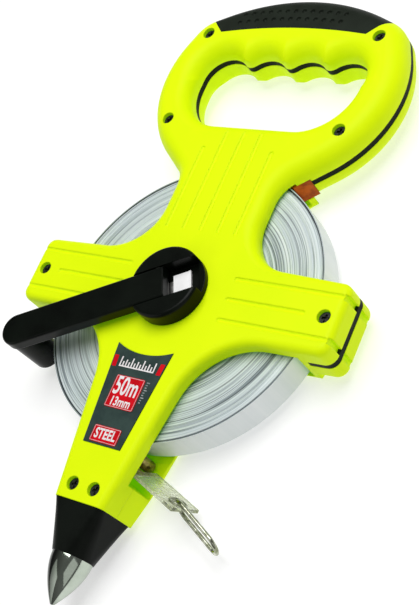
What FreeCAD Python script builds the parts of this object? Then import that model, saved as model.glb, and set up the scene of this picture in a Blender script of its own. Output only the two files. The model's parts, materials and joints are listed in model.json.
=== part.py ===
"""Open-frame surveyor's tape reel lying on its back, front face up.

Frame: +Y runs to the hand grip, +Z up out of the front face, origin on the
spindle axis in the plane of the rear rest face.  Millimetres throughout.
"""
import FreeCAD, Part
import math
import os

V = FreeCAD.Vector

# ---------------------------------------------------------------- driving sizes
# tape
tape_width = 13.0            # blade width
tape_length = 50000.0        # full length wound on the drum
tape_layer = 0.187           # blade thickness with its lacquer, per turn
blade_thick = 0.5            # outermost strand, folded double at the end fitting
drum_radius = 29.0
# frame depth
rear_wall = 3.0              # plate under the coil
side_gap = 1.3               # air on each side of the coil
half_depth = 10.75           # half the frame's thickness at the handle and arm ends
keel_drop = 3.8              # rest face below the handle's rear face
rim_gap = 2.4                # air outside the coil rim
wall = 2.6                   # moulded wall
edge_round = 3.0             # rounding of the arms' and nose's outer edges
neck_round = 5.5
handle_round = 7.5
hollow_in = 4.2              # pocket inside the outline, clear of the handle's rounding
# plan outline, half widths and heights on Y
handle_half = 58.4           # widest half width of the handle
handle_lean = 24.0           # slope of the grip's top at its ends
handle_bow = 0.75            # share of each side's shorter run that its bow takes up
handle_wide_y = 88.0         # height of the handle's widest point
grip_top = 146.4             # top of the grip
grip_arc = 97.5              # radius of the grip's top
opening_low = 79.5
opening_high = 111.6         # at the crests between the fingers
opening_corner = 22.5
finger_pitch = 20.5          # the outer scallops run down into the sides
finger_deep = 6.2
crest_round = 3.9            # crests between the fingers
finger_flare = 7.5           # each finger's groove opens out towards the front face
finger_flare_rear = 2.5      # and less towards the rear
rim_round = 6.0              # rounding of the opening's edge
pad_half = 37.0              # lower corners of the rubber pad
pad_low = 126.0
pad_mid = 128.7
pad_tip = 45.0               # ends of the pad
pad_tip_y = 133.5
neck_half = 24.8
neck_corner = 14.0
neck_top = 57.0              # the neck flares into the handle above this
arm_reach = 77.0
arm_half = 15.5
arm_root = 16.4              # half height where the arms leave the middle
nose_half = 12.2
nose_y = -90.5               # shells end, collar begins
rear_round = 2.5             # edge of the rear plate under the coil
# nose
collar_len = 18.7
spike_radius = 8.2
spike_len = 18.6
spike_drop = 1.2             # spike axis below the seam plane
nose_rear = 4.2              # height of the rear face at the nose's end
shank_dia = 7.0
shank_len = 34.0
nut_thick = 4.0
nut_flats = 11.0
notch_deep = 1.4             # where the arms' grooves run over the arm ends
notch_wide = 2.4
groove_wide = 1.9            # round-bottomed grooves in the front face
groove_deep = 0.7
neck_groove_gap = 8.7        # five side by side on the neck
neck_groove_low = 28.0
neck_groove_end = 66.0       # the outer two stop short of the others
neck_groove_top = 75.0
arm_groove_y = 8.9
arm_groove_in = 27.0
arm_groove_short = 15.5      # the middle one stops short of the arm's screw
# fasteners
screw_dia = 3.0
screw_head = 5.0
counterbore = 5.6
counterbore_deep = 3.6
screw_head_high = 2.0
socket_deep = 1.0             # cross recess in the screw's head
screw_end = 3.0               # the shank ends this far inside the rear face
# spindle and crank
spindle_dia = 8.0
bush_wall = 3.0
hub_radius = 16.0
hub_high = 7.4
crank_reach = 70.0           # spindle axis to knob axis
crank_width = 14.2
crank_thick = 5.0
crank_angle = 207.5          # where the folded crank points, from +X
hinge_back = 3.0             # hinge pin ahead of the spindle axis
hinge_dia = 3.0
knob_radius = 6.5
knob_len = 20.0
knob_pin_dia = 3.0
guard_gap = 0.7              # drag shoe's air to the coil rim
guard_thick = 7.0
guard_foot = 2.4             # its rear face above the coil's
# label
label_top = 13.8             # half widths at its two ends
label_low = 9.3
label_y1 = -26.0
label_y0 = -67.8
label_dip = 3.0              # its top edge is concave
label_thick = 0.5
panel_thick = 0.25
# tape mouth and free end
lead_angle = -19.5           # direction in which the blade leaves
sleeve_over = 0.8            # its welded edges beside the blade
sleeve_thick = 1.4
sleeve_twist = 20.0
sleeve_start = 35.0          # from the point where the blade leaves the coil
sleeve_len = 26.6
roller_at = 30.5             # roller, along the blade's path
hole_from_end = 4.6          # ring's hole in the sleeve
ring_wire = 1.7
ring_long = 26.0             # centre line
ring_wide = 8.7
ring_tilt = 48.0             # ring lies skew in the hole
ring_droop = 8.0
roller_radius = 2.6
roller_pin_dia = 2.0
# fits
run_fit = 0.05               # radial, between a pin and its bore
slip = 0.3                   # between bodies that pass each other
seat = 0.15                  # between pieces fixed in a pocket
seam_thick = 2.8
seam_sunk = 0.1
seam_wide = 2.4

# ---------------------------------------------------------------- derived sizes
coil_radius = math.sqrt(drum_radius ** 2 + tape_length * tape_layer / math.pi)
coil_z0 = rear_wall + side_gap
coil_z1 = coil_z0 + tape_width
outer_rear_z = keel_drop
seam_z = outer_rear_z + half_depth
front_z = seam_z + half_depth     # front face above the rest face
cavity_radius = coil_radius + rim_gap
groove_radius = (0.25 * groove_wide ** 2 + groove_deep ** 2) / (2 * groove_deep)
cavity_top = coil_z1 + side_gap
sleeve_width = tape_width + 2 * sleeve_over
guard_outer = coil_radius + guard_gap + guard_thick
hub_z0 = front_z + slip
hub_z1 = hub_z0 + hub_high
crank_z1 = hub_z1 + 0.2
crank_z0 = crank_z1 - crank_thick
hinge_z = 0.5 * (crank_z0 + crank_z1)
hub_floor = hinge_z - math.hypot(hinge_back, 0.5 * crank_thick) - slip
knob_z1 = crank_z0 - slip
knob_z0 = knob_z1 - knob_len
spike_z = seam_z - spike_drop
scallop_radius = (0.25 * finger_pitch ** 2 + finger_deep ** 2) / (2 * finger_deep)
handle_screw_x = 1.5 * finger_pitch + scallop_radius + 1.2
SCREWS = [(-handle_screw_x, opening_high + 13.7), (handle_screw_x, opening_high + 13.7),
          (-handle_screw_x, opening_low - 0.1), (handle_screw_x, opening_low - 0.1),
          (-arm_reach + 6.5, 0.0), (arm_reach - 6.5, 0.0),
          (-5.3, nose_y + 6.0), (5.3, nose_y + 6.0)]


# ---------------------------------------------------------------- small tools
def corner_wire(points):
    """Closed wire through corners (x, y, radius), each corner a tangent arc."""
    starts = []
    n = len(points)
    for i in range(n):
        x, y, r = points[i]
        a = V(points[i - 1][0] - x, points[i - 1][1] - y, 0).normalize()
        b = V(points[(i + 1) % n][0] - x, points[(i + 1) % n][1] - y, 0).normalize()
        p = V(x, y, 0)
        half = 0.5 * a.getAngle(b)
        if r <= 0 or abs(half - math.pi / 2) < 1e-4:
            starts.append((p, None, p))
            continue
        t = r / math.tan(half)
        m = (a + b).normalize()
        c = p + m * (r / math.sin(half))
        starts.append((p + a * t, c - m * r, p + b * t))
    edges = []
    for i in range(n):
        s, mid, e = starts[i]
        if mid is not None:
            edges.append(Part.Arc(s, mid, e).toShape())
        nxt = starts[(i + 1) % n][0]
        if e.distanceToPoint(nxt) > 1e-4:
            edges.append(Part.LineSegment(e, nxt).toShape())
    return Part.Wire(edges)


def prism(wire, z0, z1):
    w = wire.copy()
    w.translate(V(0, 0, z0))
    return Part.Face(w).extrude(V(0, 0, z1 - z0))


def cyl(r, z0, z1, x=0.0, y=0.0):
    return Part.makeCylinder(r, z1 - z0, V(x, y, z0))


def box(x0, x1, y0, y1, z0, z1):
    return Part.makeBox(x1 - x0, y1 - y0, z1 - z0, V(x0, y0, z0))


def edges_at(shape, z, keep=lambda e: True):
    """Edges that lie wholly in the plane of height z."""
    found = []
    for e in shape.Edges:
        b = e.BoundBox
        if abs(b.ZMin - z) < 1e-3 and abs(b.ZMax - z) < 1e-3 and keep(e):
            found.append(e)
    return found


def outline_round(point):
    """Rounding of the outline's edge: full at the handle, slight on the arms."""
    if point.y > neck_top:
        return handle_round
    if point.y > arm_root + 10.0:
        return neck_round
    return edge_round


def round_outline(shape, *heights):
    """Rounds the outline's edges at each height, by a radius that varies along it."""
    doc = FreeCAD.newDocument()
    base = doc.addObject("Part::Feature", "base")
    base.Shape = shape
    rounded = doc.addObject("Part::Fillet", "rounded")
    rounded.Base = base
    plan = []
    for number, e in enumerate(shape.Edges, 1):
        b = e.BoundBox
        level = any(abs(b.ZMin - z) < 1e-3 and abs(b.ZMax - z) < 1e-3 for z in heights)
        if level and b.YMax > nose_y + 0.5:
            ends = e.Vertexes[0].Point, e.Vertexes[-1].Point
            plan.append((number, outline_round(ends[0]), outline_round(ends[1])))
    rounded.Edges = plan
    doc.recompute()
    result = rounded.Shape.copy()
    FreeCAD.closeDocument(doc.Name)
    return result


def turned(shape, degrees):
    s = shape.copy()
    s.rotate(V(0, 0, 0), V(0, 0, 1), degrees)
    return s


# ---------------------------------------------------------------- plan outlines
def right_side():
    """Corners of the frame's right half, from the grip down to the nose."""
    lean = math.radians(handle_lean)
    peak = grip_top + grip_arc * (1 / math.cos(lean) - 1)
    shoulder_x = handle_half - 7.4
    shoulder = V(shoulder_x, peak - shoulder_x * math.tan(lean), 0)
    side = V(handle_half + 11.6, handle_wide_y, 0)
    neck = V(neck_half, neck_top - 4.0, 0)
    bend = (shoulder - side).getAngle(neck - side)
    run = handle_bow * min((shoulder - side).Length, (neck - side).Length)
    bow_radius = run * math.tan(0.5 * bend)
    return peak, [
        (shoulder.x, shoulder.y, 16.0),
        (side.x, side.y, bow_radius),
        (neck.x, neck.y, neck_corner),
        (neck_half + 0.1, arm_root + 0.2, 21.0),
        (arm_reach, arm_half - 0.6, 4.5),
        (arm_reach, -arm_half + 0.6, 4.5),
        (neck_half - 0.9, -arm_root + 0.4, 31.0),
        (nose_half, nose_y, 0.0)]


def frame_outline():
    peak, right = right_side()
    left = [(-x, y, r) for x, y, r in reversed(right)]
    return corner_wire([(0.0, peak, grip_arc)] + right + left)


def opening_face(grow=0.0):
    """Hand opening: a rounded slot with four finger scallops along its top."""
    lo = opening_low - grow
    corner = opening_corner + grow
    half = 0.5 * finger_pitch
    r = scallop_radius + grow
    yc = opening_high + finger_deep - scallop_radius
    crest = crest_round - grow
    a = 3 * half + r
    edges = []
    last = V(a, yc, 0)
    for k in range(4):
        x = (1.5 - k) * finger_pitch
        if k == 3:
            end = V(-a, yc, 0)
        elif crest > 0.05:
            top = V(x - half, yc + math.sqrt((r + crest) ** 2 - half ** 2), 0)
            end = V(x, yc, 0) + (top - V(x, yc, 0)) * (r / (r + crest))
        else:
            end = V(x - half, yc + math.sqrt(r ** 2 - half ** 2), 0)
        edges.append(Part.Arc(last, V(x, yc + r, 0), end).toShape())
        last = end
        if k < 3 and crest > 0.05:
            nxt = V(2 * (x - half) - end.x, end.y, 0)
            edges.append(Part.Arc(end, top - V(0, crest, 0), nxt).toShape())
            last = nxt
    q = corner * (1 - math.sqrt(0.5))
    stops = [last, V(-a, lo + corner, 0), V(-a + q, lo + q, 0), V(-a + corner, lo, 0),
             V(a - corner, lo, 0), V(a - q, lo + q, 0), V(a, lo + corner, 0), V(a, yc, 0)]
    edges.append(Part.LineSegment(stops[0], stops[1]).toShape())
    edges.append(Part.Arc(stops[1], stops[2], stops[3]).toShape())
    edges.append(Part.LineSegment(stops[3], stops[4]).toShape())
    edges.append(Part.Arc(stops[4], stops[5], stops[6]).toShape())
    edges.append(Part.LineSegment(stops[6], stops[7]).toShape())
    return Part.Face(Part.Wire(edges))


def opening_prism(z0, z1, grow=0.0):
    f = opening_face(grow)
    f.translate(V(0, 0, z0))
    return f.extrude(V(0, 0, z1 - z0))


def finger_groove(k):
    """Spool-shaped cutter: straight at mid depth, flared towards both faces."""
    reach = half_depth + 0.5
    edges = []
    ends = []
    for side, flare in ((-1, finger_flare_rear), (1, finger_flare)):
        inner = half_depth - flare
        outer = scallop_radius + flare
        q = flare * (1 - math.sqrt(0.5))
        d = flare * math.sqrt(0.5)
        start = V(scallop_radius, 0, side * inner)
        rim = V(outer, 0, side * half_depth)
        half_way = V(scallop_radius + q, 0, side * (inner + d))
        edges.append(Part.Arc(start, half_way, rim).toShape())
        edges.append(Part.LineSegment(rim, V(outer, 0, side * reach)).toShape())
        edges.append(Part.LineSegment(V(outer, 0, side * reach), V(0, 0, side * reach)).toShape())
        ends.append((start, V(0, 0, side * reach)))
    edges.append(Part.LineSegment(ends[0][0], ends[1][0]).toShape())
    edges.append(Part.LineSegment(ends[0][1], ends[1][1]).toShape())
    profile = Part.Wire(Part.__sortEdges__(edges))
    spool = Part.Face(profile).revolve(V(0, 0, 0), V(0, 0, 1), 360)
    x = (k - 1.5) * finger_pitch
    spool.translate(V(x, opening_high + finger_deep - scallop_radius, seam_z))
    return spool


def opening_cut():
    """The hand opening with its rounded rim and the four flared finger grooves."""
    a = 1.5 * finger_pitch + scallop_radius
    high = opening_high + 1.5
    r = opening_corner
    wire = corner_wire([(-a, opening_low, r), (a, opening_low, r), (a, high, 9.0), (-a, high, 9.0)])
    plate = box(-a - 20, a + 20, opening_low - 20, high + 20, outer_rear_z, front_z)
    plate = plate.cut(prism(wire, 0, 40))
    inside = lambda e: e.BoundBox.XMax < a + 5 and e.BoundBox.XMin > -a - 5 and \
        e.BoundBox.YMin > opening_low - 5 and e.BoundBox.YMax < high + 5
    rim = edges_at(plate, front_z, inside) + edges_at(plate, outer_rear_z, inside)
    plate = plate.makeFillet(rim_round, rim)
    block = box(-a - 19, a + 19, opening_low - 19, high + 19, outer_rear_z, front_z)
    plug = block.cut(plate)
    cuts = [plug, opening_prism(0, 40)]
    return cuts + [finger_groove(k) for k in range(4)]


def pad_region():
    """Crescent over the top of the grip, below it the bare handle."""
    above = grip_top + 20.0
    stops = [V(pad_half, pad_low, 0), V(pad_tip, pad_tip_y, 0), V(pad_tip, above, 0),
             V(-pad_tip, above, 0), V(-pad_tip, pad_tip_y, 0), V(-pad_half, pad_low, 0)]
    edges = [Part.Arc(stops[-1], V(0, pad_mid, 0), stops[0]).toShape()]
    for a, b in zip(stops, stops[1:]):
        edges.append(Part.LineSegment(a, b).toShape())
    return Part.Wire(edges)


# ---------------------------------------------------------------- cuts shared by both shells
def lead_frame():
    """Point where the blade leaves the coil, its direction and its normal."""
    a = math.radians(lead_angle)
    d = V(math.cos(a), math.sin(a), 0)
    n = V(-math.sin(a), math.cos(a), 0)
    p = n * (-(coil_radius + slip + 0.5 * blade_thick))
    p = V(p.x, p.y, 0.5 * (coil_z0 + coil_z1))
    return p, d, n


def along(s, across=0.0, up=0.0):
    p, d, n = lead_frame()
    return p + d * s + n * across + V(0, 0, up)


def lead_box(s0, s1, a0, a1, z0, z1):
    """Box along the blade's path: s along it, a across it, z absolute."""
    b = Part.makeBox(s1 - s0, a1 - a0, z1 - z0, V(s0, a0, z0))
    b.rotate(V(0, 0, 0), V(0, 0, 1), lead_angle)
    p, d, n = lead_frame()
    b.translate(V(p.x, p.y, 0))
    return b


def mouth_cut():
    """Slot through the lower arm, opening out into the mouth on the right."""
    slot = lead_box(-4.0, 60.0, -1.6, 2.2, coil_z0 - 0.9, coil_z1 + 0.9)
    mouth = lead_box(roller_at - 7.0, 60.0, -6.6, 9.5, coil_z0 - 0.9, coil_z1 + 0.9)
    return slot.fuse(mouth)


def roller_place():
    return along(roller_at, roller_radius + 0.5 * blade_thick + slip)


def roller_pin_cut(extra):
    c = roller_place()
    return cyl(0.5 * roller_pin_dia + extra, coil_z0 - 2.4, coil_z1 + 2.4, c.x, c.y)


def guard_ring(extra):
    """Ring sector between the coil rim and the neck, open at its ends."""
    r0 = coil_radius + guard_gap - extra
    ring = cyl(guard_outer + extra, coil_z0 + guard_foot - extra, coil_z1 - 0.2 + extra)
    ring = ring.cut(cyl(r0, 0, front_z))
    return ring.common(box(-arm_reach, arm_reach, 0.5 * neck_top, 2 * neck_top, 0, front_z))


def coil_guard():
    """Curved drag shoe that bridges the shells above the coil rim, flush with the neck's sides."""
    outline = Part.Face(frame_outline()).makeOffset2D(-seam_sunk)
    return guard_ring(0.0).common(outline.extrude(V(0, 0, front_z)))


def hollow(z0, z1):
    """Pocket inside the handle and the arms, clear of the rounded edges."""
    region = Part.Face(frame_outline()).makeOffset2D(-hollow_in)
    region.translate(V(0, 0, z0))
    s = region.extrude(V(0, 0, z1 - z0))
    s = s.cut(opening_prism(z0 - 1, z1 + 1, hollow_in + 1.0))
    s = s.cut(cyl(cavity_radius + wall, z0 - 1, z1 + 1))
    s = s.cut(box(-80, 80, nose_y - 5, nose_y + 24, z0 - 1, z1 + 1))
    for x, y in SCREWS:
        s = s.cut(cyl(counterbore * 0.5 + 1.6, z0 - 1, z1 + 1, x, y))
    high = opening_high + finger_deep
    return s.cut(box(-handle_half, handle_half, high - 5, grip_top, z0 - 1, z1 + 1))


def seam_band(inner, sunk):
    """Strip that follows the outer outline and the opening at the seam."""
    z0 = seam_z - 0.5 * seam_thick
    outline = Part.Face(frame_outline())
    if sunk > 0:
        outer = outline.makeOffset2D(-sunk)
    else:
        outer = outline.makeOffset2D(3.0)
    core = outline.makeOffset2D(-(seam_sunk + inner))
    band = outer.cut(core)
    band.translate(V(0, 0, z0))
    return band.extrude(V(0, 0, seam_thick))


def hand_band(inner, sunk):
    z0 = seam_z - 0.5 * seam_thick
    out = opening_prism(z0, z0 + seam_thick, seam_sunk + inner)
    return out.cut(opening_prism(z0 - 1, z0 + seam_thick + 1, sunk))


def shoulder_box():
    """Space in which the outer seam strip of the handle lies."""
    return box(-2 * handle_half, 2 * handle_half, neck_top, pad_tip_y - 1.0, 0, 2 * front_z)


def arm_box(side):
    x0 = cavity_radius + 1.2
    if side < 0:
        return box(-90, -x0, -30, 30, 0, 40)
    return box(x0, 90, -30, 30, 0, 40)


def seam_cut():
    groove = seam_band(seam_wide + seat, 0.0)
    parts = [groove.common(shoulder_box()), groove.common(arm_box(-1))]
    parts.append(groove.common(arm_box(1)))
    hand = hand_band(seam_wide + seat, -2.0)
    return parts + [hand]


def pad_core(z0, z1):
    """Core of the handle that the rubber pad wraps round."""
    region = Part.Face(frame_outline()).makeOffset2D(-wall)
    region.translate(V(0, 0, z0 + wall))
    core = region.extrude(V(0, 0, z1 - z0 - 2 * wall))
    core = core.common(box(-90, 90, neck_top + 20, 200, 0, 40))
    upper = lambda e: e.BoundBox.YMax > neck_top + 21
    rim = edges_at(core, z1 - wall, upper) + edges_at(core, z0 + wall, upper)
    return core.makeFillet(handle_round - wall, rim)


def pad_cut():
    solid = prism(pad_region(), outer_rear_z - 5, front_z + 5)
    return solid.cut(pad_core(outer_rear_z, front_z))


def shank_top():
    return nose_y - collar_len + shank_len


def shank_cut(extra):
    return Part.makeCylinder(0.5 * shank_dia + extra, shank_len + 30,
                             V(0, shank_top() + 0.5, spike_z), V(0, -1, 0))


def nut_solid(extra=0.0):
    """Hexagon round the shank, its top face level with the shank's end."""
    r = (0.5 * nut_flats + extra) / math.cos(math.pi / 6)
    pts = []
    for k in range(7):
        a = math.radians(60 * k + 30)
        pts.append(V(r * math.cos(a), 0, r * math.sin(a)))
    nut = Part.Face(Part.makePolygon(pts)).extrude(V(0, -nut_thick - 2 * extra, 0))
    nut.translate(V(0, shank_top() - 0.3 + extra, spike_z))
    return nut


# ---------------------------------------------------------------- shells
def groove(x0, y0, x1, y1):
    """Shallow round-bottomed groove from one point to another in the front face."""
    start = V(x0, y0, front_z - groove_deep + groove_radius)
    end = V(x1, y1, start.z)
    trough = Part.makeCylinder(groove_radius, start.distanceToPoint(end), start, end - start)
    trough = trough.fuse(Part.makeSphere(groove_radius, start))
    return trough.fuse(Part.makeSphere(groove_radius, end))


def front_grooves():
    cuts = []
    for k in range(-2, 3):
        x = k * neck_groove_gap
        top = neck_groove_end if abs(k) == 2 else neck_groove_top
        cuts.append(groove(x, neck_groove_low, x, top))
    for side in (-1, 1):
        start = side * arm_groove_in
        cuts.append(groove(start, 0.0, side * (arm_reach - arm_groove_short), 0.0))
        for y in (-arm_groove_y, arm_groove_y):
            cuts.append(groove(start, y, side * arm_reach, y))
    return cuts


def end_notches():
    """The arms' outer grooves carried over the arm ends, across the seam."""
    cuts = []
    for side in (-1, 1):
        for y in (-arm_groove_y, arm_groove_y):
            x0, x1 = sorted((side * (arm_reach - notch_deep), side * (arm_reach + 2)))
            half = notch_wide / 2
            cuts.append(box(x0, x1, y - half, y + half, outer_rear_z - 1, front_z + 1))
    return cuts


def screw_cuts(shape):
    for x, y in SCREWS:
        top = front_z
        shape = shape.cut(cyl(counterbore / 2, top - counterbore_deep, top + 2, x, y))
        shape = shape.cut(cyl(screw_dia / 2 + seat, -1, top + 2, x, y))
    return shape


def label_wire(shrink=0.0):
    a = label_top - shrink
    b = label_low - shrink
    top = label_y1 - shrink
    low = label_y0 + shrink
    arc = Part.Arc(V(a, top, 0), V(0, top - label_dip, 0), V(-a, top, 0)).toShape()
    e1 = Part.LineSegment(V(-a, top, 0), V(-b, low, 0)).toShape()
    e2 = Part.LineSegment(V(-b, low, 0), V(b, low, 0)).toShape()
    e3 = Part.LineSegment(V(b, low, 0), V(a, top, 0)).toShape()
    return Part.Wire([arc, e1, e2, e3])


def common_cuts():
    """Cuts that both shells share."""
    cuts = [pad_cut(), guard_ring(seat), mouth_cut(), shank_cut(seat), nut_solid(seat)]
    cuts += [roller_pin_cut(0.0), cyl(spindle_dia / 2 + bush_wall, -1, 40)]
    return cuts + opening_cut() + seam_cut() + end_notches()


def front_shell():
    s = round_outline(prism(frame_outline(), seam_z, front_z), front_z)
    s = s.cut(cyl(cavity_radius, 0, cavity_top))
    s = s.cut(hollow(seam_z - 1, front_z - hollow_in))
    for c in common_cuts() + front_grooves():
        s = s.cut(c)
    s = screw_cuts(s)
    s = s.cut(prism(label_wire(-seat), front_z - 0.2, front_z + 1))
    return s.removeSplitter()


def keel():
    """Rear plate under the coil, rising to the nose behind the tape mouth."""
    ahead = lambda e: e.BoundBox.YMax > nose_y + 0.5
    top = outer_rear_z + edge_round + 0.2
    plate = prism(frame_outline(), 0.0, top)
    plate = plate.makeFillet(rear_round, edges_at(plate, 0.0, ahead))
    disc = cyl(cavity_radius + wall, 0, top)
    disc = disc.makeFillet(rear_round, edges_at(disc, 0.0))
    tail = box(-2 * nose_half, 2 * nose_half, nose_y, -0.5 * cavity_radius, 0, top)
    plate = plate.common(disc.fuse(tail))
    wedge = Part.makePolygon([V(-40, nose_y - 1, -1), V(-40, nose_y - 1, nose_rear),
                              V(-40, -60, 0.0), V(-40, -60, -1), V(-40, nose_y - 1, -1)])
    return plate.cut(Part.Face(wedge).extrude(V(80, 0, 0)))


def rear_shell():
    outer = round_outline(prism(frame_outline(), outer_rear_z, seam_z), outer_rear_z)
    s = outer.fuse(keel())
    s = s.cut(cyl(cavity_radius, rear_wall, 30))
    s = s.cut(hollow(outer_rear_z + hollow_in, seam_z + 1))
    for c in common_cuts():
        s = s.cut(c)
    for x, y in SCREWS:
        s = s.cut(cyl(screw_dia / 2, outer_rear_z + screw_end, seam_z + 1, x, y))
    return s.removeSplitter()


def grip_pad():
    s = round_outline(prism(frame_outline(), outer_rear_z, front_z), front_z, outer_rear_z)
    for c in opening_cut():
        s = s.cut(c)
    s = s.common(prism(pad_region(), outer_rear_z - 5, front_z + 5))
    return s.cut(pad_core(outer_rear_z, front_z)).removeSplitter()


def handle_seam():
    strip = seam_band(seam_wide, seam_sunk).common(shoulder_box())
    return strip.cut(guard_ring(seat))


def hand_seam():
    return hand_band(seam_wide, seam_sunk)


def arm_seam(side):
    return seam_band(seam_wide, seam_sunk).common(arm_box(side))


# ---------------------------------------------------------------- nose
def nose_collar():
    """Black collar that blends the flat nose into the round spike."""
    inset = 0.5
    high = front_z - inset
    low = nose_rear - inset
    sections = []
    steps = 5
    r_end = spike_radius + 0.3
    for k in range(steps):
        t = k / (steps - 1.0)
        a = nose_half + (r_end - nose_half) * t
        top = high + (spike_z + r_end - high) * t
        bottom = low + (spike_z - r_end - low) * t
        r = 3.0 + (r_end - 0.02 - 3.0) * t ** 0.8
        wire = corner_wire([(-a, bottom, r), (a, bottom, r), (a, top, r), (-a, top, r)])
        wire.rotate(V(0, 0, 0), V(1, 0, 0), 90)
        wire.translate(V(0, nose_y - collar_len * t, 0))
        sections.append(wire)
    body = Part.makeLoft(sections, True, False)
    return body.cut(shank_cut(seat))


def ground_spike():
    """Ogive steel point with a threaded shank."""
    y0 = nose_y - collar_len
    n = 5
    pts = []
    for k in range(n):
        t = k / (n - 1.0)
        pts.append(V(spike_radius * (1 - t ** 1.75) + 0.7 * t, y0 - spike_len * t, 0))
    curve = Part.BSplineCurve()
    curve.interpolate(pts)
    tip = V(0, y0 - spike_len, 0)
    top = shank_top()
    r = 0.5 * shank_dia
    edges = [curve.toShape(), Part.LineSegment(pts[-1], tip).toShape(),
             Part.LineSegment(tip, V(0, top, 0)).toShape(),
             Part.LineSegment(V(0, top, 0), V(r, top, 0)).toShape(),
             Part.LineSegment(V(r, top, 0), V(r, y0, 0)).toShape(),
             Part.LineSegment(V(r, y0, 0), pts[0]).toShape()]
    s = Part.Face(Part.Wire(edges)).revolve(V(0, 0, 0), V(0, 1, 0), 360)
    s.translate(V(0, 0, spike_z))
    return s


def spike_nut():
    return nut_solid().cut(shank_cut(0.0))


# ---------------------------------------------------------------- reel
def drum():
    core = cyl(drum_radius, coil_z0, coil_z1)
    web = cyl(drum_radius - 3.0, coil_z0 - 1, coil_z0 + 4.5)
    web = web.fuse(cyl(drum_radius - 3.0, coil_z1 - 4.5, coil_z1 + 1))
    boss = cyl(9.0, coil_z0 - 2, coil_z1 + 2)
    core = core.cut(web.cut(boss))
    for k in range(6):
        a = math.radians(60 * k)
        core = core.cut(cyl(4.6, 0, 40, 17.5 * math.cos(a), 17.5 * math.sin(a)))
    return core.cut(cyl(spindle_dia / 2 + run_fit, 0, 40))


def tape_coil():
    return cyl(coil_radius, coil_z0, coil_z1).cut(cyl(drum_radius, 0, 40))


# ---------------------------------------------------------------- free end of the tape
def strip_section(s, width, thick, twist):
    """Rectangle across the blade's path, turned about the path by twist."""
    p, d, n = lead_frame()
    c = math.cos(math.radians(twist))
    t = math.sin(math.radians(twist))
    w = V(0, 0, c) - n * t
    m = n * c + V(0, 0, t)
    o = along(s)
    pts = [o + w * (width / 2) + m * (thick / 2), o + w * (width / 2) - m * (thick / 2),
           o - w * (width / 2) - m * (thick / 2), o - w * (width / 2) + m * (thick / 2)]
    return Part.makePolygon(pts + [pts[0]])


def tape_lead():
    flat_end = roller_at + 1.0
    twist_run = sleeve_start - flat_end
    stations = [(-1.0, 0.0), (flat_end, 0.0)]
    for k in range(1, 5):
        stations.append((flat_end + twist_run * k / 4.0, sleeve_twist * k / 4.0))
    stations.append((sleeve_start + 3.0, sleeve_twist))
    wires = [strip_section(s, tape_width - 0.4, blade_thick, a) for s, a in stations]
    return Part.makeLoft(wires, True, True)


def sleeve_axes():
    p, d, n = lead_frame()
    c = math.cos(math.radians(sleeve_twist))
    t = math.sin(math.radians(sleeve_twist))
    return d, V(0, 0, c) - n * t, n * c + V(0, 0, t)


def hole_place():
    return along(sleeve_start + sleeve_len - hole_from_end)


def sleeve_tube():
    w = strip_section(sleeve_start, sleeve_width, sleeve_thick, sleeve_twist)
    d, across, m = sleeve_axes()
    return Part.Face(w).extrude(d * sleeve_len)


def tape_end_sleeve():
    s = sleeve_tube()
    d, across, m = sleeve_axes()
    hole = Part.makeCylinder(2.6, 10, hole_place() - m * 5, m)
    slot = strip_section(sleeve_start - 1, tape_width - 0.4 + 2 * seat,
                         blade_thick + 2 * seat * 0.5, sleeve_twist)
    pocket = Part.Face(slot).extrude(d * 4.2)
    return s.cut(hole).cut(pocket)


def end_ring():
    """Oval ring of round wire through the hole in the sleeve."""
    d, across, m = sleeve_axes()
    a = math.radians(-ring_droop)
    e1 = d * math.cos(a) + m * math.sin(a)
    tilt = math.radians(ring_tilt)
    upright = m * math.cos(a) - d * math.sin(a)
    e2 = upright * math.cos(tilt) + across * math.sin(tilt)
    o = hole_place()
    h = 0.5 * ring_wide
    far = ring_long
    near_c = o + e1 * h
    far_c = o + e1 * (far - h)
    edges = [Part.Arc(near_c + e2 * h, o, near_c - e2 * h).toShape(),
             Part.LineSegment(near_c - e2 * h, far_c - e2 * h).toShape(),
             Part.Arc(far_c - e2 * h, o + e1 * far, far_c + e2 * h).toShape(),
             Part.LineSegment(far_c + e2 * h, near_c + e2 * h).toShape()]
    path = Part.Wire(edges)
    circle = Part.Wire(Part.Circle(near_c + e2 * h, e1, ring_wire / 2).toShape())
    return path.makePipeShell([circle], True, False)


def guide_roller():
    c = roller_place()
    s = cyl(roller_radius, coil_z0, coil_z1, c.x, c.y)
    return s.cut(cyl(roller_pin_dia / 2 + run_fit, 0, 40, c.x, c.y))


def roller_pin():
    return roller_pin_cut(0.0)


# ---------------------------------------------------------------- spindle and crank
def spindle():
    s = cyl(spindle_dia / 2, 0.4, hub_floor - 0.2)
    return s.fuse(cyl(spindle_dia / 2 - 1.0, hub_floor - 0.2, hub_floor)).removeSplitter()


def rear_bush():
    s = cyl(spindle_dia / 2 + bush_wall, 0.3, rear_wall + 0.6)
    return s.cut(cyl(spindle_dia / 2 + run_fit, -1, 20))


def front_bush():
    s = cyl(spindle_dia / 2 + bush_wall, cavity_top - 0.7, front_z)
    return s.cut(cyl(spindle_dia / 2 + run_fit, -1, 40))


def crank_hub():
    """Disc with a channel for the crank and a well opposite it."""
    s = cyl(hub_radius, hub_z0, hub_z1)
    s = s.makeFillet(1.6, edges_at(s, hub_z1))
    half = crank_width / 2 + slip
    s = s.cut(box(-13.2, 30, -half, half, hub_floor, 60))
    s = s.cut(box(-30, 0, -half, half, crank_z0 - slip, 60))
    pin = Part.makeCylinder(hinge_dia / 2, 26, V(hinge_back, -13, hinge_z), V(0, 1, 0))
    s = s.cut(pin)
    s = s.cut(cyl(spindle_dia / 2 - 1.0, 0, hub_floor + 1))
    s = s.cut(cyl(spindle_dia / 2, 0, hub_floor - 0.2))
    return turned(s, crank_angle)


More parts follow.
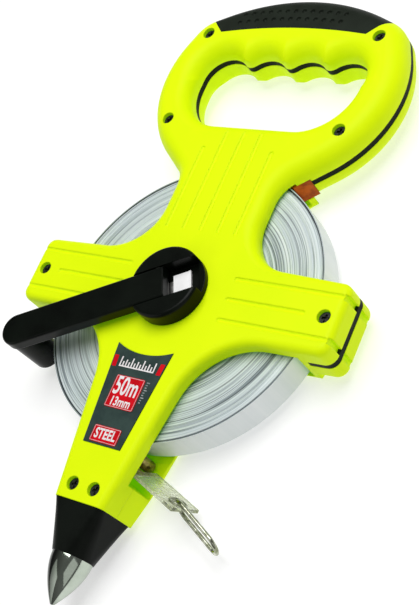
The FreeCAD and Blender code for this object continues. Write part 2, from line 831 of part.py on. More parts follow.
def hinge_pin():
    s = Part.makeCylinder(hinge_dia / 2, 26, V(hinge_back, -13, hinge_z), V(0, 1, 0))
    return turned(s, crank_angle)


def detent_spring():
    """Steel leaf in the well that holds the crank folded or open."""
    s = box(-9.5, -1.6, -4.8, 4.8, hub_floor, hub_floor + 0.9)
    s = s.fuse(box(-9.5, -8.7, -4.8, 4.8, hub_floor, crank_z0 - 2 * slip))
    s = s.removeSplitter()
    return turned(s, crank_angle)


def crank_arm():
    half = crank_width / 2
    s = box(0.0, crank_reach, -half, half, crank_z0, crank_z1)
    s = s.fuse(cyl(half, crank_z0, crank_z1, crank_reach)).removeSplitter()
    rim = edges_at(s, crank_z1, lambda e: e.BoundBox.XMax > 1.0)
    s = s.makeFillet(1.2, rim)
    pin = Part.makeCylinder(hinge_dia / 2 + run_fit, 30, V(hinge_back, -15, hinge_z), V(0, 1, 0))
    s = s.cut(pin)
    s = s.cut(cyl(knob_pin_dia / 2, crank_z0 - 1, crank_z1 - 1.2, crank_reach))
    return turned(s, crank_angle)


def knob():
    s = cyl(knob_radius, knob_z0, knob_z1, crank_reach)
    s = s.makeFillet(2.0, edges_at(s, knob_z0))
    s = s.makeFillet(0.8, edges_at(s, knob_z1))
    s = s.cut(cyl(knob_pin_dia / 2 + run_fit, knob_z0 + 2.5, 60, crank_reach))
    return turned(s, crank_angle)


def knob_pin():
    s = cyl(knob_pin_dia / 2, knob_z0 + 3.0, crank_z1 - 1.2, crank_reach)
    return turned(s, crank_angle)


def spindle_clip():
    """Ring on the spindle between the rear bush and the drum."""
    s = cyl(spindle_dia / 2 + 2.0, rear_wall + 0.75, coil_z0 - 0.1)
    return s.cut(cyl(spindle_dia / 2, 0, 20))


# ---------------------------------------------------------------- fasteners and label
def shell_screws():
    parts = []
    for x, y in SCREWS:
        under = front_z - counterbore_deep
        over = under + screw_head_high
        head = cyl(screw_head / 2, under, over, x, y)
        shank = cyl(screw_dia / 2, outer_rear_z + screw_end, under, x, y)
        s = head.fuse(shank).removeSplitter()
        for dx, dy in ((0.5, 1.6), (1.6, 0.5)):
            s = s.cut(box(x - dx, x + dx, y - dy, y + dy, over - socket_deep, front_z))
        parts.append(s)
    return Part.makeCompound(parts)


def label_plate():
    z0 = front_z - 0.2
    return prism(label_wire(), z0, z0 + label_thick)


def label_panel(y0, y1, half):
    z0 = front_z - 0.2 + label_thick
    wire = corner_wire([(-half, y0, 0.8), (half, y0, 0.8), (half, y1, 0.8), (-half, y1, 0.8)])
    return prism(wire, z0, z0 + panel_thick)


# ---------------------------------------------------------------- write every piece
NODES = [
    ("front_shell", front_shell), ("rear_shell", rear_shell), ("grip_pad", grip_pad),
    ("handle_seam", handle_seam), ("hand_seam", hand_seam),
    ("arm_seam_right", lambda: arm_seam(1)), ("arm_seam_left", lambda: arm_seam(-1)),
    ("coil_guard", coil_guard), ("nose_collar", nose_collar),
    ("ground_spike", ground_spike), ("spike_nut", spike_nut),
    ("drum", drum), ("tape_coil", tape_coil), ("tape_lead", tape_lead),
    ("tape_end_sleeve", tape_end_sleeve), ("end_ring", end_ring),
    ("guide_roller", guide_roller), ("roller_pin", roller_pin),
    ("spindle", spindle), ("rear_bush", rear_bush), ("front_bush", front_bush),
    ("spindle_clip", spindle_clip), ("crank_hub", crank_hub), ("hinge_pin", hinge_pin),
    ("detent_spring", detent_spring), ("crank_arm", crank_arm),
    ("knob", knob), ("knob_pin", knob_pin), ("shell_screws", shell_screws),
    ("label_plate", label_plate),
    ("label_panel_size", lambda: label_panel(-52.5, -39.0, 7.1)),
    ("label_panel_material", lambda: label_panel(-67.0, -60.3, 6.7)),
]

os.makedirs("parts", exist_ok=True)
for name, make in NODES:
    shape = make()
    if not shape.isValid():
        print("INVALID", name)
    print("%-22s solids %d  volume %9.1f  z %6.2f..%6.2f" % (
        name, len(shape.Solids), shape.Volume, shape.BoundBox.ZMin, shape.BoundBox.ZMax))
    shape.exportStep("parts/" + name + ".step")
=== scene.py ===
"""Surveyor's open tape reel, lying on its back with the crank unfolded beside the coil."""
import json
import math
import random

import bpy
from mathutils import Matrix, Vector


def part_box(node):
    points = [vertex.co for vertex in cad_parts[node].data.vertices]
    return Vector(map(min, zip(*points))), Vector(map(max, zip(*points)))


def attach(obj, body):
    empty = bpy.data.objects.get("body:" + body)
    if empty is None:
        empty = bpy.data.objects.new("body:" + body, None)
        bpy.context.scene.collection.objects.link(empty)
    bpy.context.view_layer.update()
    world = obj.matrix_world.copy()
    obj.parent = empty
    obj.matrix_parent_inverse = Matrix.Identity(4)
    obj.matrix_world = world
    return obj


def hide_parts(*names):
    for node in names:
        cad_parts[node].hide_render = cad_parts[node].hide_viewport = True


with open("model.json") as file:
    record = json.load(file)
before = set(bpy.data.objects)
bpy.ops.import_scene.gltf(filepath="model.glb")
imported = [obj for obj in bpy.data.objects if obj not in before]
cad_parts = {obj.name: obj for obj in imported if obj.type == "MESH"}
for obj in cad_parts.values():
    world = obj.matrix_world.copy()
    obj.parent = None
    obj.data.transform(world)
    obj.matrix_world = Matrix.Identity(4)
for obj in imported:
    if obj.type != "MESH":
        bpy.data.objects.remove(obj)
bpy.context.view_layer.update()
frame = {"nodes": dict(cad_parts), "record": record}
nodes = frame["nodes"]

# Studio.  A white paper table under one large soft light above the reel, with a weak soft
# light low on each side, and the camera above the nose looking at the middle of the reel.
aim = Vector((0.01094, 0.00192, 0.01455))
azimuth, elevation, roll = math.radians(62.84), math.radians(47.75), math.radians(-45.16)
distance = 0.49773
away = Vector((math.sin(azimuth) * math.cos(elevation), -math.cos(azimuth) * math.cos(elevation),
               math.sin(elevation)))
lens = bpy.data.cameras.new("camera")
lens.sensor_fit = "AUTO"
lens.sensor_width = 36.0
lens.lens = 74.9
camera = bpy.data.objects.new("camera", lens)
bpy.context.scene.collection.objects.link(camera)
look = (-away).to_track_quat("-Z", "Y").to_matrix().to_4x4()
camera.matrix_world = Matrix.Translation(aim + away * distance) @ look @ Matrix.Rotation(roll, 4, "Z")
bpy.context.scene.camera = camera

below_reel = 0.0002
bpy.ops.object.select_all(action="DESELECT")
bpy.ops.mesh.primitive_plane_add(size=6.0, location=(0.0, 0.0, -below_reel))
floor = bpy.context.object
floor.name = "floor"
paper = bpy.data.materials.new("floor_paper")
paper.use_nodes = True
sheet = paper.node_tree.nodes["Principled BSDF"]
sheet.inputs["Base Color"].default_value = (0.55, 0.55, 0.55, 1)
sheet.inputs["Roughness"].default_value = 0.9
sheet.inputs["Specular IOR Level"].default_value = 0.0
sheet.inputs["Emission Color"].default_value = (1, 1, 1, 1)
sheet.inputs["Emission Strength"].default_value = 0.55
floor.data.materials.append(paper)

world = bpy.data.worlds.new("studio")
bpy.context.scene.world = world
world.use_nodes = True
world.node_tree.nodes["Background"].inputs["Color"].default_value = (1.0, 1.0, 1.0, 1)
world.node_tree.nodes["Background"].inputs["Strength"].default_value = 0.14
bpy.context.scene.view_settings.view_transform = "Standard"


def softbox(name, place, size, watts):
    """A square soft light, turned to the middle of the reel."""
    data = bpy.data.lights.new(name, "AREA")
    data.shape = "SQUARE"
    data.size = size
    data.energy = watts
    lamp = bpy.data.objects.new(name, data)
    lamp.location = place
    lamp.rotation_euler = (aim - Vector(place)).to_track_quat("-Z", "Y").to_euler()
    bpy.context.scene.collection.objects.link(lamp)


softbox("key", (0.05, 0.35, 1.0), 0.9, 10.8)
softbox("right_fill", (0.8, -0.5, 0.55), 0.8, 1.0)
softbox("left_fill", (-0.6, -0.7, 0.55), 0.8, 1.6)


# Yellow shells.  Two halves moulded in fluorescent yellow-green nylon with a fine
# sand-blasted surface, screwed together on the seam at mid thickness.  A faint green
# glow of painted light lifts the shaded sides, in place of the dye's fluorescence.
MM = 0.001


def add(tree, kind, **inputs):
    """A node of this kind, with its input sockets set by name."""
    made = tree.nodes.new(kind)
    for label, value in inputs.items():
        made.inputs[label.replace("_", " ")].default_value = value
    return made


def start_finish(name, rough, metal=0.0, specular=0.5):
    """A new material, its shader and the Object coordinates that its pattern follows."""
    made = bpy.data.materials.new(name)
    made.use_nodes = True
    tree = made.node_tree
    shader = tree.nodes["Principled BSDF"]
    shader.inputs["Roughness"].default_value = rough
    shader.inputs["Metallic"].default_value = metal
    shader.inputs["Specular IOR Level"].default_value = specular
    place = tree.nodes.new("ShaderNodeTexCoord").outputs["Object"]
    return made, tree, shader, place


def ranged(tree, source, start, end, low=0.0, high=1.0):
    """Stretches the part of a value between start and end over low to high."""
    stretch = add(tree, "ShaderNodeMapRange", From_Min=start, From_Max=end, To_Min=low, To_Max=high)
    tree.links.new(source, stretch.inputs["Value"])
    return stretch.outputs["Result"]


def tones(tree, source, stops):
    """A colour ramp through these stops."""
    ramp = tree.nodes.new("ShaderNodeValToRGB")
    ends = ramp.color_ramp.elements
    for end, (where, colour) in zip((ends[0], ends[1]), (stops[0], stops[-1])):
        end.position = where
        end.color = (*colour, 1)
    for where, colour in stops[1:-1]:
        ends.new(where).color = (*colour, 1)
    tree.links.new(source, ramp.inputs["Fac"])
    return ramp.outputs["Color"]


def cloudy(tree, shader, place, light, deep, size_mm):
    """Slow change of colour and gloss over the surface, between a light and a deep tone."""
    cloud = add(tree, "ShaderNodeTexNoise", Scale=1.0 / (size_mm * MM), Detail=5.0, Roughness=0.6)
    tree.links.new(place, cloud.inputs["Vector"])
    colour = tones(tree, cloud.outputs["Fac"], [(0.36, deep), (0.6, light)])
    tree.links.new(colour, shader.inputs["Base Color"])
    rough = shader.inputs["Roughness"].default_value
    change = 0.12 * rough
    gloss = ranged(tree, cloud.outputs["Fac"], 0.3, 0.7, rough - change, rough + change)
    tree.links.new(gloss, shader.inputs["Roughness"])
    return colour


def grained(tree, shader, place, grain_mm, depth_mm, edge_mm, strength=0.5):
    """Fine grain in relief, over edges that are softened to a small radius."""
    grain = add(tree, "ShaderNodeTexNoise", Scale=1.0 / (grain_mm * MM), Detail=3.0)
    tree.links.new(place, grain.inputs["Vector"])
    edge = add(tree, "ShaderNodeBevel", Radius=edge_mm * MM)
    edge.samples = 6
    relief = add(tree, "ShaderNodeBump", Strength=strength, Distance=depth_mm * MM)
    tree.links.new(grain.outputs["Fac"], relief.inputs["Height"])
    tree.links.new(edge.outputs["Normal"], relief.inputs["Normal"])
    tree.links.new(relief.outputs["Normal"], shader.inputs["Normal"])


def give(material, *names):
    """Puts a finish on CAD nodes."""
    for name in names:
        for slot in nodes[name].material_slots:
            slot.material = material


nylon, tree, shader, place = start_finish("yellow_nylon", 0.45, specular=0.08)
cloudy(tree, shader, place, (0.8, 0.89, 0.002), (0.765, 0.87, 0.002), 34.0)
# Painted light: a faint green emission that brightens the shaded sides.
shader.inputs["Emission Color"].default_value = (0.1, 1.0, 0.0, 1)
shader.inputs["Emission Strength"].default_value = 0.12
grained(tree, shader, place, 0.45, 0.03, 0.7, strength=0.35)
give(nylon, "front_shell", "rear_shell")

# Seam strips.  Black rubber cord pressed into the groove between the halves, round the
# handle, round the hand opening and over each arm's end.
cord_rubber, tree, shader, place = start_finish("seam_rubber", 0.55, specular=0.1)
cloudy(tree, shader, place, (0.007, 0.014, 0.003), (0.002, 0.006, 0.001), 8.0)
grained(tree, shader, place, 0.3, 0.04, 0.3)
give(cord_rubber, "handle_seam", "hand_seam", "arm_seam_right", "arm_seam_left")

# Drag shoe.  An orange-brown moulded bridge between the coil's rim and the neck, with
# rubbed paler streaks where the tape has run against it.
shoe, tree, shader, place = start_finish("shoe_orange", 0.4, specular=0.12)
cloudy(tree, shader, place, (0.6, 0.12, 0.003), (0.22, 0.025, 0.001), 7.0)
grained(tree, shader, place, 0.5, 0.04, 0.4)
give(shoe, "coil_guard")


# Grip pad.  Soft black rubber pulled over the top of the handle, with two rows of round
# dimples pressed into its front for the thumb.
def alone(thing):
    """Selects one object and nothing else."""
    bpy.ops.object.select_all(action="DESELECT")
    thing.select_set(True)
    bpy.context.view_layer.objects.active = thing


def copy_of(node, name):
    """A copy of a CAD node as one joined skin, to shape further."""
    thing = nodes[node].copy()
    thing.data = nodes[node].data.copy()
    thing.name = thing.data.name = name
    bpy.context.scene.collection.objects.link(thing)
    thing.parent = None
    thing.matrix_world = nodes[node].matrix_world
    alone(thing)
    bpy.ops.object.mode_set(mode="EDIT")
    bpy.ops.mesh.select_all(action="SELECT")
    bpy.ops.mesh.remove_doubles(threshold=0.00001)
    bpy.ops.object.mode_set(mode="OBJECT")
    return thing


def joined(things, name):
    """Several objects made one, with its place in its mesh."""
    bpy.ops.object.select_all(action="DESELECT")
    for thing in things:
        thing.select_set(True)
    bpy.context.view_layer.objects.active = things[0]
    if len(things) > 1:
        bpy.ops.object.join()
    whole = bpy.context.view_layer.objects.active
    whole.name = whole.data.name = name
    bpy.ops.object.transform_apply(location=True, rotation=True, scale=True)
    return whole


def dressed(thing, material, body):
    """Gives a new piece its finish and the body that it rides on."""
    thing.data.materials.clear()
    thing.data.materials.append(material)
    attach(thing, body)


pad = copy_of("grip_pad", "grip_pad_dimpled")
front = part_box("front_shell")[1][2]
grip_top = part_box("grip_pad")[1][1]
row_arc = 190.0 * MM
row_depths = (8.8 * MM, 12.9 * MM)
row_shift = -1.2 * MM
row_start = -28.0 * MM
dimple_count = 13
dimple_pitch = 4.3 * MM
dimple_radius = 1.05 * MM
dimple_stretch = 1.15
above_face = 0.05 * MM
dimples = []
for row, below in enumerate(row_depths):
    for number in range(dimple_count):
        x = row_start + row * row_shift + number * dimple_pitch
        y = grip_top - below - row_arc + math.sqrt(row_arc ** 2 - x ** 2)
        bpy.ops.object.select_all(action="DESELECT")
        bpy.ops.mesh.primitive_ico_sphere_add(subdivisions=2, radius=dimple_radius,
                                              location=(x, y, front + above_face))
        bpy.ops.object.mode_set(mode="EDIT")
        bpy.ops.transform.resize(value=(dimple_stretch, 1.0, 1.0))
        bpy.ops.object.mode_set(mode="OBJECT")
        dimples.append(bpy.context.object)
punch = joined(dimples, "punch")
alone(pad)
cut = pad.modifiers.new("dimples", "BOOLEAN")
cut.operation = "DIFFERENCE"
cut.object = punch
cut.solver = "EXACT"
bpy.ops.object.modifier_apply(modifier="dimples")
bpy.data.objects.remove(punch)
alone(pad)
bpy.ops.object.shade_smooth_by_angle(angle=math.radians(22))
even = pad.modifiers.new("even", "WEIGHTED_NORMAL")
even.keep_sharp = True
bpy.ops.object.modifier_apply(modifier="even")
rubber, tree, shader, place = start_finish("pad_rubber", 0.55, specular=0.12)
cloudy(tree, shader, place, (0.013, 0.019, 0.012), (0.008, 0.012, 0.007), 12.0)
grained(tree, shader, place, 0.35, 0.06, 0.35, strength=0.6)
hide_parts("grip_pad")
dressed(pad, rubber, "frame")

# Nose.  A black moulded collar carries the turned steel spike, drawn up by a zinc-plated
# nut in a pocket of the shells.  A dark reflection is painted down one side of the polished steel.
collar, tree, shader, place = start_finish("collar_nylon", 0.4, specular=0.1)
cloudy(tree, shader, place, (0.004, 0.006, 0.004), (0.002, 0.003, 0.002), 15.0)
grained(tree, shader, place, 0.4, 0.03, 0.4, strength=0.4)
give(collar, "nose_collar")

steel, tree, shader, place = start_finish("turned_steel", 0.1, metal=1.0)
bright = cloudy(tree, shader, place, (0.52, 0.58, 0.5), (0.42, 0.48, 0.4), 9.0)
across = tree.nodes.new("ShaderNodeSeparateXYZ")
tree.links.new(place, across.inputs[0])
# Painted reflection: the steel's colour is darkened towards its -X side.
painted_dark_side = ranged(tree, across.outputs["X"], -2.0 * MM, 3.0 * MM, 0.09, 1.0)
steel_with_painted_reflection = add(tree, "ShaderNodeVectorMath")
steel_with_painted_reflection.operation = "SCALE"
tree.links.new(bright, steel_with_painted_reflection.inputs[0])
tree.links.new(painted_dark_side, steel_with_painted_reflection.inputs["Scale"])
tree.links.new(steel_with_painted_reflection.outputs[0], shader.inputs["Base Color"])
lathe = tree.nodes.new("ShaderNodeMapping")
lathe.inputs["Scale"].default_value = (20.0, 9000.0, 20.0)
tree.links.new(place, lathe.inputs["Vector"])
rings = add(tree, "ShaderNodeTexNoise", Scale=1.0, Detail=2.0)
tree.links.new(lathe.outputs["Vector"], rings.inputs["Vector"])
turning = add(tree, "ShaderNodeBump", Strength=0.12, Distance=0.01 * MM)
tree.links.new(rings.outputs["Fac"], turning.inputs["Height"])
tree.links.new(turning.outputs["Normal"], shader.inputs["Normal"])
give(steel, "ground_spike")

zinc, tree, shader, place = start_finish("zinc_plate", 0.35, metal=1.0)
cloudy(tree, shader, place, (0.6, 0.6, 0.58), (0.42, 0.43, 0.4), 2.5)
grained(tree, shader, place, 0.2, 0.02, 0.15)
give(zinc, "spike_nut", "hinge_pin", "knob_pin")

# Reel.  Fifty metres of steel tape wound on a black drum.  Its side is the edges of the
# turns, a little uneven, with a deeper gap inside the last turns, painted dark as its shade,
# and its rim is the lacquered back of the last turn.
drum_nylon, tree, shader, place = start_finish("drum_nylon", 0.4, specular=0.3)
cloudy(tree, shader, place, (0.012, 0.014, 0.012), (0.006, 0.007, 0.006), 9.0)
grained(tree, shader, place, 0.4, 0.04, 0.4)
give(drum_nylon, "drum")

low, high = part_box("tape_coil")
rim = high[0]
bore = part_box("drum")[1][0] + 0.02 * MM
inner_band = 1.2 * MM
deepest = 0.32 * MM
winding = random.Random(50)
turns = [(0.35 * MM, 0.0), (0.12 * MM, 0.45 * MM), (0.5 * MM, 0.45 * MM),
         (0.12 * MM, winding.uniform(0.0, deepest))]
radius = rim - sum(step for step, depth in turns)
while radius > bore + inner_band:
    turns.append((winding.uniform(0.25 * MM, 1.1 * MM), winding.uniform(0.0, deepest)))
    radius -= turns[-1][0]

bpy.ops.object.select_all(action="DESELECT")
bpy.ops.mesh.primitive_circle_add(vertices=224, radius=rim, fill_type="NOTHING",
                                  location=(0.0, 0.0, low[2]))
coil = bpy.context.object
bpy.ops.object.transform_apply(location=True)
bpy.ops.object.mode_set(mode="EDIT")
bpy.ops.mesh.select_all(action="SELECT")
bpy.ops.mesh.extrude_region_move(TRANSFORM_OT_translate={"value": (0.0, 0.0, high[2] - low[2])})
radius = rim
sunk = 0.0
for step, depth in turns:
    share = (radius - step) / radius
    bpy.ops.mesh.extrude_region_move(TRANSFORM_OT_translate={"value": (0.0, 0.0, sunk - depth)})
    bpy.ops.transform.resize(value=(share, share, 1.0))
    radius -= step
    sunk = depth
bpy.ops.mesh.extrude_region_move(TRANSFORM_OT_translate={"value": (0.0, 0.0, sunk)})
bpy.ops.transform.resize(value=(bore / radius, bore / radius, 1.0))
bpy.ops.mesh.extrude_region_move(TRANSFORM_OT_translate={"value": (0.0, 0.0, low[2] - high[2])})
bpy.ops.mesh.extrude_region_move(TRANSFORM_OT_translate={"value": (0.0, 0.0, 0.0)})
bpy.ops.transform.resize(value=(rim / bore, rim / bore, 1.0))
bpy.ops.mesh.select_all(action="SELECT")
bpy.ops.mesh.remove_doubles(threshold=0.000002)
bpy.ops.mesh.normals_make_consistent(inside=False)
bpy.ops.object.mode_set(mode="OBJECT")
coil = joined([coil], "tape_winding")
bpy.ops.object.shade_smooth_by_angle(angle=math.radians(20))

tape, tree, shader, place = start_finish("wound_tape", 0.45, metal=0.1, specular=0.4)
flat = add(tree, "ShaderNodeVectorMath")
flat.operation = "MULTIPLY"
flat.inputs[1].default_value = (1.0, 1.0, 0.0)
tree.links.new(place, flat.inputs[0])
span = tree.nodes.new("ShaderNodeVectorMath")
span.operation = "LENGTH"
tree.links.new(flat.outputs[0], span.inputs[0])


def turns_noise(across_mm, around_mm, detail):
    """Streaks that follow the turns: fine across them, slow round the coil."""
    spread = tree.nodes.new("ShaderNodeMath")
    spread.operation = "MULTIPLY"
    spread.inputs[1].default_value = 1.0 / (across_mm * MM)
    tree.links.new(span.outputs["Value"], spread.inputs[0])
    slow = add(tree, "ShaderNodeVectorMath")
    slow.operation = "SCALE"
    slow.inputs["Scale"].default_value = 1.0 / (around_mm * MM)
    tree.links.new(flat.outputs[0], slow.inputs[0])
    apart = tree.nodes.new("ShaderNodeSeparateXYZ")
    tree.links.new(slow.outputs[0], apart.inputs[0])
    where = tree.nodes.new("ShaderNodeCombineXYZ")
    tree.links.new(spread.outputs[0], where.inputs["Z"])
    tree.links.new(apart.outputs["X"], where.inputs["X"])
    tree.links.new(apart.outputs["Y"], where.inputs["Y"])
    streak = add(tree, "ShaderNodeTexNoise", Scale=1.0, Detail=detail, Roughness=0.65)
    tree.links.new(where.outputs[0], streak.inputs["Vector"])
    return streak.outputs["Fac"]


def over(kind, first, second, share=1.0):
    """Blends one colour over another by a fixed share, or by a pattern's."""
    blend = tree.nodes.new("ShaderNodeMix")
    blend.data_type = "RGBA"
    blend.blend_type = kind
    if isinstance(share, float):
        blend.inputs["Factor"].default_value = share
    else:
        tree.links.new(share, blend.inputs["Factor"])
    tree.links.new(first, blend.inputs["A"])
    tree.links.new(second, blend.inputs["B"])
    return blend.outputs["Result"]


clean = (1.0, 1.0, 1.0)
bands = tones(tree, turns_noise(5.5, 190.0, 3.0),
              [(0.3, (0.5, 0.56, 0.58)), (0.5, (0.66, 0.73, 0.74)), (0.7, (0.8, 0.86, 0.86))])
fine = tones(tree, turns_noise(0.5, 190.0, 2.0),
             [(0.36, (0.1, 0.12, 0.14)), (0.46, (0.74, 0.78, 0.8)), (0.6, clean)])
gaps = tones(tree, turns_noise(1.9, 140.0, 3.0),
             [(0.37, (0.2, 0.23, 0.26)), (0.42, clean), (0.9, clean)])
side = over("MULTIPLY", over("MULTIPLY", bands, fine, 0.8), gaps, 0.75)
reach = ranged(tree, span.outputs["Value"], rim - 1.6 * MM, rim + 0.4 * MM)
# Painted shade: a near-black ring over the sunk gap just inside the rim.
gap_shade_tone = (0.06, 0.07, 0.08)
painted_gap_shade = tones(tree, reach, [(0.30, clean), (0.36, gap_shade_tone), (0.56, gap_shade_tone), (0.62, clean)])
outer_turn = tones(tree, reach, [(0.76, (0.0, 0.0, 0.0)), (0.79, clean)])
lacquer = tones(tree, turns_noise(400.0, 9.0, 4.0), [(0.3, (0.74, 0.8, 0.8)), (0.7, (0.86, 0.9, 0.9))])
wound = over("MIX", over("MULTIPLY", side, painted_gap_shade), lacquer, outer_turn)
tree.links.new(wound, shader.inputs["Base Color"])
lines = add(tree, "ShaderNodeBump", Strength=0.5, Distance=0.12 * MM)
tree.links.new(turns_noise(0.5, 150.0, 2.0), lines.inputs["Height"])
tree.links.new(lines.outputs["Normal"], shader.inputs["Normal"])
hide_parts("tape_coil")
dressed(coil, tape, "reel")

# Tape mouth.  The free end of the tape leaves over a brass-coloured roller on a steel
# pin, and is folded into a welded clear sleeve with an eyelet for the end ring.
blade, tree, shader, place = start_finish("lead_lacquer", 0.35, metal=0.1, specular=0.5)
cloudy(tree, shader, place, (0.75, 0.72, 0.22), (0.5, 0.46, 0.1), 5.0)
grained(tree, shader, place, 0.25, 0.02, 0.1)
give(blade, "tape_lead")

brass, tree, shader, place = start_finish("roller_brass", 0.3, metal=0.8)
cloudy(tree, shader, place, (0.45, 0.37, 0.12), (0.12, 0.09, 0.02), 2.5)
grained(tree, shader, place, 0.3, 0.03, 0.25)
give(brass, "guide_roller")

clear, tree, shader, place = start_finish("clear_vinyl", 0.16, specular=0.5)
shader.inputs["Transmission Weight"].default_value = 0.82
shader.inputs["IOR"].default_value = 1.42
cloudy(tree, shader, place, (0.97, 1.0, 0.9), (0.66, 0.7, 0.42), 2.6)
dimpled = add(tree, "ShaderNodeTexVoronoi", Scale=900.0)
tree.links.new(place, dimpled.inputs["Vector"])
emboss = add(tree, "ShaderNodeBump", Strength=0.9, Distance=0.2 * MM)
tree.links.new(dimpled.outputs["Distance"], emboss.inputs["Height"])
tree.links.new(emboss.outputs["Normal"], shader.inputs["Normal"])
give(clear, "tape_end_sleeve")

swing = next(j for j in frame["record"]["behaviour"]["joints"] if j["name"] == "ring_swing")
eye_at = Vector(swing["pos_m"])
wide = Vector(swing["axis"]).normalized()
run = Vector((0.0, 0.0, 1.0)).cross(Vector((wide.x, wide.y, 0.0))).normalized()
through = wide.cross(run).normalized()
flange_radius = 3.5 * MM
flange_thick = 0.4 * MM
flange_flat = 0.55
off_sleeve = 0.72 * MM
flanges = []
for way in (-1.0, 1.0):
    bpy.ops.object.select_all(action="DESELECT")
    bpy.ops.mesh.primitive_torus_add(major_radius=flange_radius, minor_radius=flange_thick,
                                     major_segments=40, minor_segments=12,
                                     location=eye_at + through * way * off_sleeve)
    flange = bpy.context.object
    flange.rotation_euler = through.to_track_quat("Z", "Y").to_euler()
    flange.scale = (1.0, 1.0, flange_flat)
    bpy.ops.object.transform_apply(location=True, rotation=True, scale=True)
    flanges.append(flange)
eyelet = joined(flanges, "sleeve_eyelet")
bpy.ops.object.shade_smooth_by_angle(angle=math.radians(40))
nickel, tree, shader, place = start_finish("eyelet_nickel", 0.25, metal=1.0)
cloudy(tree, shader, place, (0.4, 0.42, 0.33), (0.12, 0.13, 0.08), 1.2)
grained(tree, shader, place, 0.15, 0.01, 0.1)
dressed(eyelet, nickel, "frame")

wire, tree, shader, place = start_finish("ring_wire", 0.14, metal=1.0)
cloudy(tree, shader, place, (0.62, 0.64, 0.52), (0.22, 0.24, 0.14), 2.4)
grained(tree, shader, place, 0.2, 0.02, 0.1)
give(wire, "end_ring", "roller_pin")

# Spindle.  A ground steel spindle runs in two black bushes and is held by a spring clip
# at the rear.
give(zinc, "spindle", "spindle_clip")
bush, tree, shader, place = start_finish("bush_acetal", 0.35, specular=0.4)
cloudy(tree, shader, place, (0.015, 0.016, 0.015), (0.008, 0.009, 0.008), 4.0)
grained(tree, shader, place, 0.3, 0.02, 0.3)
give(bush, "front_bush", "rear_bush")

# Crank.  Glossy black moulded hub, folding arm and knob.  A bright steel plate spring in the
# hub's well holds the arm open or shut.  Its glint is painted on as plain white colour.
gloss_black, tree, shader, place = start_finish("crank_nylon", 0.3, specular=0.12)
cloudy(tree, shader, place, (0.003, 0.005, 0.003), (0.0015, 0.0025, 0.0015), 18.0)
grained(tree, shader, place, 0.6, 0.02, 0.6, strength=0.3)
give(gloss_black, "crank_hub", "crank_arm", "knob")

# Painted reflection: plain white, not metal, in place of the steel's glint.
plate, tree, shader, place = start_finish("spring_painted_glint", 0.5, specular=0.8)
cloudy(tree, shader, place, (1.0, 1.0, 1.0), (0.95, 0.95, 0.95), 3.0)
grained(tree, shader, place, 0.3, 0.01, 0.15)
give(plate, "detent_spring")

# Screws.  Eight steel screws, blackened and with a cross recess, sunk in counterbores in
# the front half and driven into the rear half to hold the two together.
oxide, tree, shader, place = start_finish("black_oxide", 0.4, metal=0.6)
cloudy(tree, shader, place, (0.035, 0.037, 0.035), (0.008, 0.009, 0.008), 1.2)
grained(tree, shader, place, 0.2, 0.03, 0.2)
give(oxide, "shell_screws")

# Label.  A slate-coloured printed plate with two red panels, white figures and frames,
# and a white ruler scale across its top between two red tabs.
slate, tree, shader, place = start_finish("label_slate", 0.4, specular=0.15)
cloudy(tree, shader, place, (0.036, 0.064, 0.056), (0.026, 0.047, 0.043), 6.0)
grained(tree, shader, place, 0.3, 0.01, 0.15)
give(slate, "label_plate")
red, tree, shader, place = start_finish("label_red", 0.4, specular=0.12)
cloudy(tree, shader, place, (0.7, 0.003, 0.012), (0.52, 0.001, 0.006), 5.0)
grained(tree, shader, place, 0.3, 0.01, 0.1)
give(red, "label_panel_size", "label_panel_material")
white, tree, shader, place = start_finish("print_white", 0.45, specular=0.3)
cloudy(tree, shader, place, (0.92, 0.9, 0.9), (0.78, 0.72, 0.73), 1.6)
grained(tree, shader, place, 0.2, 0.01, 0.05)
pink, tree, shader, place = start_finish("print_pale_red", 0.45, specular=0.3)
cloudy(tree, shader, place, (0.86, 0.55, 0.56), (0.72, 0.36, 0.38), 1.6)
grained(tree, shader, place, 0.2, 0.01, 0.05)
grey, tree, shader, place = start_finish("print_grey", 0.45, specular=0.3)
cloudy(tree, shader, place, (0.4, 0.44, 0.44), (0.22, 0.25, 0.26), 1.6)
grained(tree, shader, place, 0.2, 0.01, 0.05)


def bar(x0, x1, y0, y1, z):
    """A thin printed bar with softened corners, its underside at z."""
    ink = 0.06 * MM
    bpy.ops.object.select_all(action="DESELECT")
    bpy.ops.mesh.primitive_cube_add(size=1.0, location=(0.5 * (x0 + x1), 0.5 * (y0 + y1), z + 0.5 * ink))
    made = bpy.context.object
    made.scale = (x1 - x0, y1 - y0, ink)
    bpy.ops.object.transform_apply(location=True, rotation=True, scale=True)
    bpy.ops.object.mode_set(mode="EDIT")
    bpy.ops.mesh.select_all(action="SELECT")
    bpy.ops.mesh.bevel(offset=0.25 * ink, segments=1)
    bpy.ops.object.mode_set(mode="OBJECT")
    return made


def lettering(text, name, size, narrow, bold, x, y, z):
    """Raised printed figures, centred on a point."""
    bpy.ops.object.select_all(action="DESELECT")
    bpy.ops.object.text_add(location=(0.0, 0.0, 0.0))
    made = bpy.context.object
    made.data.body = text
    made.data.align_x = "CENTER"
    made.data.align_y = "CENTER"
    made.data.size = size
    made.data.offset = bold
    made.data.extrude = 0.04 * MM
    made.data.resolution_u = 4
    bpy.ops.object.convert(target="MESH")
    made = bpy.context.object
    made.scale = (narrow, 1.0, 1.0)
    made.location = (x, y, z)
    bpy.ops.object.transform_apply(location=True, rotation=True, scale=True)
    made.name = made.data.name = name
    return made


def frame_lines(low, high, z):
    """Four printed lines just inside a panel's edge."""
    inset = 0.25 * MM
    width = 0.22 * MM
    x0, y0 = low[0] + inset, low[1] + inset
    x1, y1 = high[0] - inset, high[1] - inset
    return [bar(x0, x1, y0, y0 + width, z), bar(x0, x1, y1 - width, y1, z),
            bar(x0, x0 + width, y0 + width, y1 - width, z),
            bar(x1 - width, x1, y0 + width, y1 - width, z)]


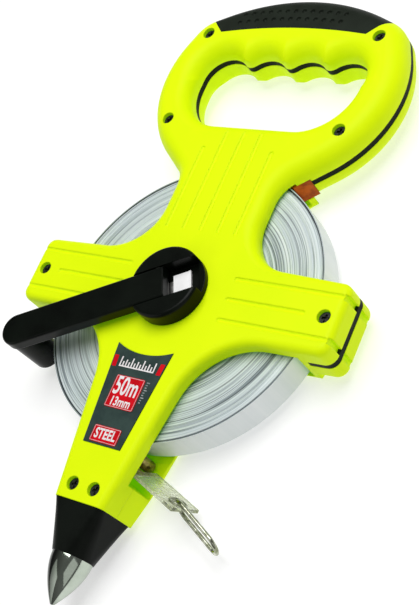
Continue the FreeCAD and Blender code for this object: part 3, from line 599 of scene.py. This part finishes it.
size_low, size_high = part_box("label_panel_size")
kind_low, kind_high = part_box("label_panel_material")
label_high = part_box("label_plate")[1]
panel_top = size_high[2]
plate_top = label_high[2]
size_middle = 0.5 * (size_low[1] + size_high[1])
kind_middle = 0.5 * (kind_low[1] + kind_high[1])
figures = [lettering("50m", "length_figures", 10.6 * MM, 0.63, 0.2 * MM,
                     -0.2 * MM, size_middle + 2.2 * MM, panel_top),
           lettering("13mm", "width_figures", 5.2 * MM, 0.78, 0.12 * MM,
                     -0.1 * MM, size_middle - 4.2 * MM, panel_top),
           lettering("STEEL", "material_word", 5.7 * MM, 0.72, 0.16 * MM,
                     0.0, kind_middle, panel_top)]
dressed(joined(figures, "label_figures"), white, "frame")
outlines = frame_lines(size_low, size_high, panel_top) + frame_lines(kind_low, kind_high, panel_top)
dressed(joined(outlines, "label_frames"), pink, "frame")

scale_low = label_high[1] - 9.6 * MM
scale_half = 8.8 * MM
scale_line = 0.55 * MM
tick_count = 13
first_tick = -8.5 * MM
tick_pitch = 1.417 * MM
tick_half = 0.3 * MM
tick_heights = (3.7 * MM, 1.8 * MM, 2.7 * MM, 1.8 * MM)
lap = 0.05 * MM
ticks = [bar(-scale_half, scale_half, scale_low, scale_low + scale_line, plate_top)]
for number in range(tick_count):
    x = first_tick + number * tick_pitch
    top = scale_low + scale_line + tick_heights[number % len(tick_heights)]
    ticks.append(bar(x - tick_half, x + tick_half, scale_low + scale_line - lap, top, plate_top))
dressed(joined(ticks, "label_scale"), white, "frame")

mark_count = 9
first_mark = size_high[1] - 0.8 * MM
mark_pitch = 1.05 * MM
mark_half = 0.2 * MM
mark_lengths = (1.5 * MM, 0.9 * MM, 0.9 * MM)
mark_x = size_high[0] + 0.9 * MM
marks = []
for number in range(mark_count):
    y = first_mark - number * mark_pitch
    length = mark_lengths[number % len(mark_lengths)]
    marks.append(bar(mark_x, mark_x + length, y - mark_half, y + mark_half, plate_top))
dressed(joined(marks, "label_small_scale"), grey, "frame")

tab_inner = 10.2 * MM
tab_outer = 12.3 * MM
tab_low = scale_low - 0.4 * MM
tab_high = scale_low + 4.4 * MM
tab_lean = 0.108
tabs = []
for way in (-1.0, 1.0):
    tab = bar(way * tab_inner, way * tab_outer, tab_low, tab_high, plate_top)
    for corner in tab.data.vertices:
        corner.co.x += way * tab_lean * (corner.co.y - scale_low)
    tabs.append(tab)
tab_pair = joined(tabs, "label_tabs")
bpy.ops.object.mode_set(mode="EDIT")
bpy.ops.mesh.select_all(action="SELECT")
bpy.ops.mesh.normals_make_consistent(inside=False)
bpy.ops.object.mode_set(mode="OBJECT")
dressed(tab_pair, red, "frame")
